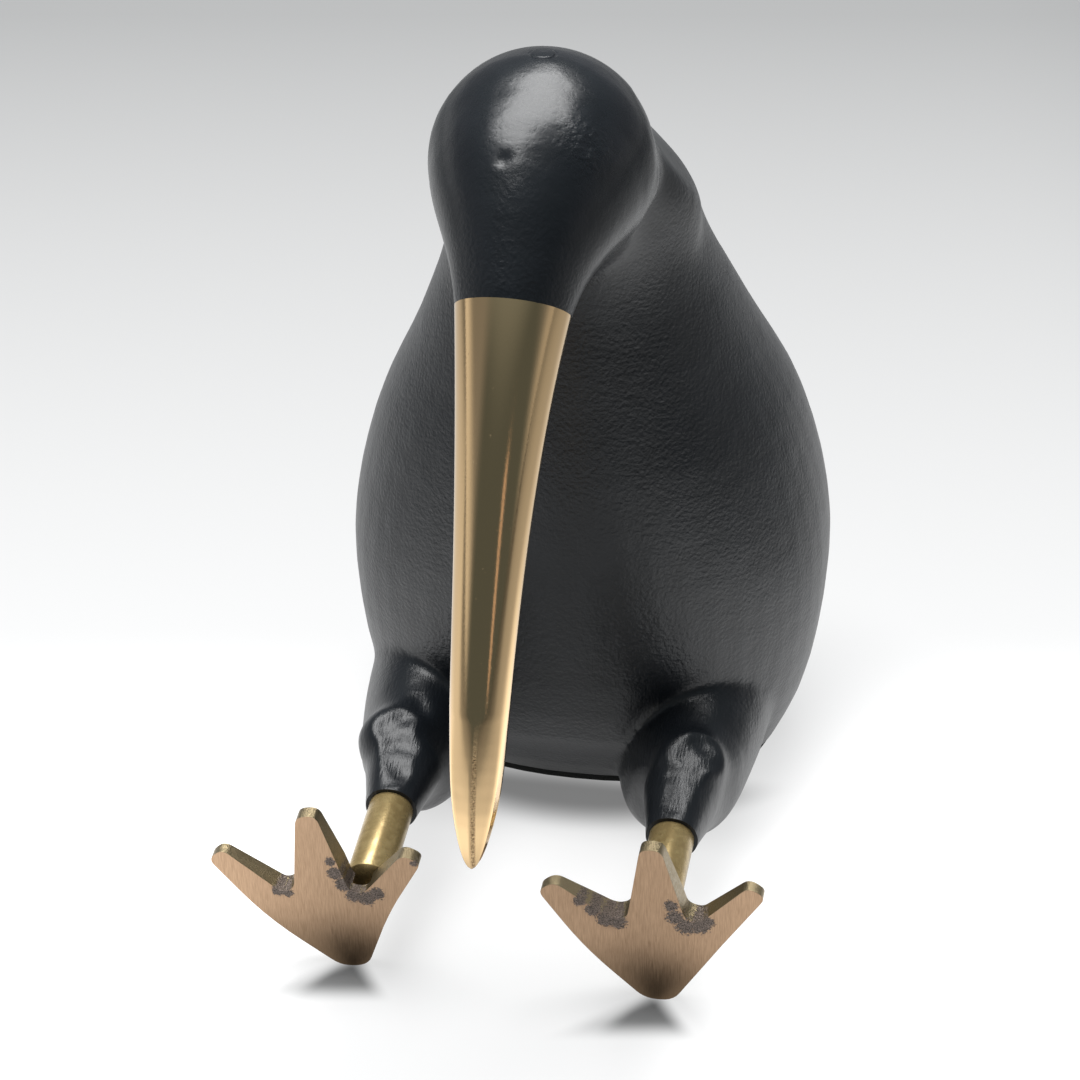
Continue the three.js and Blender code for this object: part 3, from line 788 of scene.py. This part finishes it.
# Each patch: across and up from the middle of its sole, and its radius
PITS = {
    "left": [
        (-11.5, 4.6, 1.2),
        (-9.3, 3.0, 1.5),
        (-7.2, 1.4, 1.9),
        (-5.4, 1.0, 1.7),
        (3.2, 5.6, 1.3),
        (3.9, 3.2, 1.7),
        (5.6, 1.5, 1.9),
        (7.8, 2.0, 1.9),
        (9.2, 3.0, 1.2),
    ],
    "right": [
        (-14.0, -0.2, 1.2),
        (-12.4, -0.4, 1.1),
        (-4.9, 7.3, 1.0),
        (-4.2, 4.9, 1.5),
        (-3.0, 2.6, 1.6),
        (-1.4, 0.6, 1.7),
        (0.6, 0.3, 1.7),
        (2.4, 1.4, 1.5),
        (8.9, 8.8, 0.7),
    ],
}

brushed, shader, place = new_material("brushed brass", Metallic=1.0)
crumbs = place.noise(2.6, 5.0, 0.7)
flat_place = place.scaled((1, 0, 1))
nearest = None
for side, (sole_x, sole_z) in SOLES.items():
    for across, up, radius in PITS[side]:
        near = 1 - flat_place.distance((sole_x + across, 0, sole_z + up)) / radius
        nearest = near if nearest is None else nearest.most(near)
pitted = (nearest + crumbs * 2 - 1.1).ramp(0.0, 0.1)
print("pits:", sum(len(patches) for patches in PITS.values()), "patches")

# %% brushed brass
STROKE_DARK = (0.32, 0.21, 0.13, 1)
STROKE_LIGHT = (0.5, 0.34, 0.22, 1)
# Colour of the painted shade towards the heels
HEEL_PAINTED_SHADE = (0.12, 0.08, 0.045, 1)
CAST_EDGE = (0.25, 0.2, 0.12, 1)
PIT_DARK = (0.07, 0.058, 0.05, 1)
PIT_LIGHT = (0.27, 0.22, 0.19, 1)
BRUSH_RELIEF = 0.1 * mm

strokes = place.scaled((9.0, 1.0, 0.35)).noise(1.0, 4.0, 0.6)
grit = place.noise(5.0, 4.0, 0.7).ramp(0.36, 0.62)
# The soles face -Y, so the piece's own normals tell them from the edges
edge = place.node("TexCoord", output=1).part("Y").ramp(-0.85, -0.5)
tint = strokes.ramp(0.25, 0.75).blend(STROKE_DARK, STROKE_LIGHT)
# Painted shade: the soles darken towards the heels, in place of the floor's shadow that they reflect
# there
tint = place.part("Z").ramp(0, 14, 0.75, 0.0).blend(tint, HEEL_PAINTED_SHADE)
tint = edge.blend(tint, CAST_EDGE)
tint = pitted.blend(tint, grit.blend(PIT_DARK, PIT_LIGHT))
height = strokes * 0.3 + crumbs * pitted.most(edge) * 3.0 + grit * pitted * 2.0
connect(shader, Base_Color=tint, Roughness=strokes.ramp(0.3, 0.7, 0.32, 0.46) + pitted * 0.2)
connect(shader, Normal=height.bump(0.5, BRUSH_RELIEF))
print(brushed.name, len(brushed.node_tree.nodes), "nodes")

# %% [markdown]
# ### Plain steel and felt
# The nuts and washers are inside the casting, and the pad is almost hidden, so both are simple.

# %% steel and felt
STEEL_GREY = (0.45, 0.46, 0.47, 1)
FELT_BLACK = (0.02, 0.021, 0.02, 1)
FELT_RELIEF = 0.3 * mm

steel, shader, place = new_material("plain steel", Metallic=1.0, Base_Color=STEEL_GREY)
connect(shader, Roughness=place.noise(1.5).ramp(0.3, 0.7, 0.3, 0.45))
felt, shader, place = new_material("dark felt", Roughness=0.95, Base_Color=FELT_BLACK)
connect(shader, Normal=place.noise(4.0, 4.0, 0.7).bump(0.8, FELT_RELIEF))
print(steel.name, "and", felt.name)

# %% [markdown]
# ## Dressing the pieces
# Each piece takes its finish, stands for its solid and rides on the one body. The nuts, washers and
# tie rod keep their solids. Only the filed end of the tie rod shows, on the crown, and it
# was blackened with the head.

# %% dressing


def paint(piece, material):
    """Gives a piece one finish all over."""
    piece.data.materials.clear()
    piece.data.materials.append(material)


def dress(piece, material, slot, *stands_for):
    """Gives a piece its finish and its place in the frame."""
    paint(piece, material)
    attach(piece, "root")
    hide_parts(*stands_for)


dress(casting, coat, "black_casting", "body_casting")
dress(beak, polish, "polished_brass", "beak")
dress(pad, felt, "dark_felt", "base_felt")
for side in LEG_ROOTS:
    dress(legs[side], turned, "turned_brass", side + "_leg")
    dress(feet[side], brushed, "brushed_brass", side + "_foot")
    paint(nodes[side + "_leg_nut"], steel)
    paint(nodes[side + "_leg_washer"], steel)
paint(nodes["beak_tie_rod"], coat)

# %% [markdown]
# ## Floor
# The bird sits on a white paper sweep that is white in front and greys evenly towards the back.
# A lit floor alone would also fall off to the sides, so the paper is a dim grey that glows a
# little: evenly across the picture, more beside the body, which shines in its flanks, and less
# close under the belly. Out of sight, far ahead and to the right, it glows less too, which keeps
# the reflections dark there. The soft lamp leaves too pale a shadow at the heels, so the glow is
# held back in a wedge in front of each.

# %% floor
CAMERA_AZIMUTH = math.radians(10.5)
PAPER_GREY = (0.19, 0.19, 0.19, 1)
# A mix stops at 1, so the glow is halved there and the shader doubles it
GLOW_SCALE = 2.0

deselect()
bpy.ops.mesh.primitive_plane_add(size=6)
floor = settle(bpy.context.object, "floor")
paper, shader, place = new_material(
    "white paper",
    Roughness=0.9,
    Specular_IOR_Level=0.1,
    Base_Color=PAPER_GREY,
    Emission_Strength=GLOW_SCALE,
)
place_x = place.part("X")
place_y = place.part("Y")
across = place_x * math.cos(CAMERA_AZIMUTH) + place_y * math.sin(CAMERA_AZIMUTH)
away = place_y * math.cos(CAMERA_AZIMUTH) - place_x * math.sin(CAMERA_AZIMUTH)
print("floor", tuple(floor.dimensions))

# %% glow of the paper
SWEEP_NEAR = -40.0
SWEEP_FAR = 370.0
GLOW_AT_ZERO = 0.62
GLOW_LOST_PER_MM = 0.00126
BELLY_HALF_WIDTH = 33
BELLY_HALF_DEPTH = 29
BELLY_MIDDLE = BASE_MIDDLE_Y / mm / BELLY_HALF_DEPTH
LAP = (0, -25, 0)
BETWEEN_THIGHS = (4, -40, 0)

sweep = GLOW_AT_ZERO - away.most(SWEEP_NEAR).least(SWEEP_FAR) * GLOW_LOST_PER_MM
sweep = sweep * place_y.ramp(-420, -140, 0.2, 1.0) * across.ramp(100, 260, 1.0, 0.35)
beside = place.distance(LAP).ramp(30, 230, 1.4, 0.0)
beside = beside * place_x.magnitude().ramp(20, 80) * away.ramp(-60, 40, 1.0, 0.0)
between = place.distance(BETWEEN_THIGHS).ramp(8, 46, 0.18, 0.0)
between = between * place_y.ramp(-36, -22, 1.0, 0.0)
oval = place.scaled((1 / BELLY_HALF_WIDTH, 1 / BELLY_HALF_DEPTH, 0)).distance((0, BELLY_MIDDLE, 0))
under = oval.ramp(1.0, 1.35, 0.7, 0.0) * place_y.ramp(-18, -8, 1.0, 0.0)
glow = (sweep + beside + between) * (1 - under)
print("the sweep greys over", SWEEP_FAR - SWEEP_NEAR, "mm")

# %% shade of the heels
# Where each heel touches, across and away
HEELS = [(-39.4, -70.0), (9.6, -80.1)]

for heel_across, heel_away in HEELS:
    right = across - heel_across
    front = heel_away - away
    wedge = (right + front * 1.4).ramp(-6, 2) * (front * 0.42 - right).ramp(-3, 1)
    fading = front.ramp(5, 11, 1.0, 0.0) * (right + front * 0.65).ramp(-5, -1, 0.5, 0.92)
    glow = glow * (1 - wedge * fading)
connect(shader, Emission_Color=(glow / GLOW_SCALE).blend((0, 0, 0, 1), (1, 1, 1, 1)))
floor.data.materials.append(paper)
print(paper.name, len(paper.node_tree.nodes), "nodes")

# %% [markdown]
# ## Light
# One large soft lamp hangs overhead. Round the sweep stand pale walls, whitest on the left of
# the picture, under a grey upper wall and a ceiling, and the room is dark behind the camera. The
# dark side is what draws the olive stripe down the beak, and a small warm strip lamp draws the
# thin bright line beside it. The walls are a world that depends on the direction alone.

# %% walls
DARK_AZIMUTH = math.radians(15)
WALL_COLOUR = (0.55, 0.55, 0.55, 1)
LEFT_WALL_COLOUR = (0.95, 0.95, 0.95, 1)
UPPER_WALL_COLOUR = (0.3, 0.31, 0.33, 1)
ROOM_COLOUR = (0.12, 0.145, 0.155, 1)
CEILING_COLOUR = (0.26, 0.3, 0.32, 1)

world = bpy.data.worlds.new("studio")
bpy.context.scene.world = world
world.use_nodes = True
background = world.node_tree.nodes["Background"]
facing = Flow(world.node_tree).node("TexCoord", output=0)
sideways = facing.part("X")
upwards = facing.part("Z")
forwards = sideways * math.sin(DARK_AZIMUTH) - facing.part("Y") * math.cos(DARK_AZIMUTH)
low_wall = (sideways * -1).ramp(0.5, 0.95).blend(WALL_COLOUR, LEFT_WALL_COLOUR)
wall = upwards.ramp(0.0, 0.2).blend(low_wall, UPPER_WALL_COLOUR)
room = forwards.ramp(0.3, 0.65).blend(wall, ROOM_COLOUR)
surround = upwards.ramp(0.35, 0.65).blend(room, CEILING_COLOUR)
world.node_tree.links.new(surround.socket, background.inputs["Color"])
background.inputs["Strength"].default_value = 1.0
print(world.name, len(world.node_tree.nodes), "nodes")

# %% lamps
LAMP_AIM = Vector((0, -0.03, 0.07))
WHITE = (1.0, 1.0, 1.0)
WARM = (1.0, 0.7, 0.55)


def soft_lamp(name, place, width, height, power, colour):
    """A rectangular lamp that points at the bird, its sizes in metres and its power in watts."""
    deselect()
    bpy.ops.object.light_add(type="AREA", location=place)
    lamp = bpy.context.object
    lamp.name = name
    lamp.rotation_euler = (LAMP_AIM - Vector(place)).to_track_quat("-Z", "Y").to_euler()
    lamp.data.shape = "RECTANGLE"
    lamp.data.size = width
    lamp.data.size_y = height
    lamp.data.energy = power
    lamp.data.color = colour
    print(lamp.name, power, "W")


soft_lamp("overhead", (-0.12, 0.1, 1.0), 0.9, 0.6, 22, WHITE)
soft_lamp("warm_strip", (0.72, -1.12, 0.28), 0.16, 0.36, 0.11, WARM)

# %% [markdown]
# ## Camera
# The camera looks down by 29 degrees from a little to the bird's left, through a long lens.

# %% camera
CAMERA_ELEVATION = math.radians(29)
CAMERA_AIM = Vector((0, -0.049, 0.0673))
CAMERA_DISTANCE = 0.56
SENSOR_WIDTH = 36
LENS = 116.67

level = math.cos(CAMERA_ELEVATION)
back = Vector(
    (
        math.sin(CAMERA_AZIMUTH) * level,
        -math.cos(CAMERA_AZIMUTH) * level,
        math.sin(CAMERA_ELEVATION),
    )
)
deselect()
bpy.ops.object.camera_add(location=CAMERA_AIM + back * CAMERA_DISTANCE)
camera = bpy.context.object
camera.rotation_euler = (-back).to_track_quat("-Z", "Y").to_euler()
camera.data.sensor_width = SENSOR_WIDTH
camera.data.lens = LENS
bpy.context.scene.camera = camera
bpy.context.scene.view_settings.view_transform = "Standard"
print("camera at", [round(v, 3) for v in camera.location])
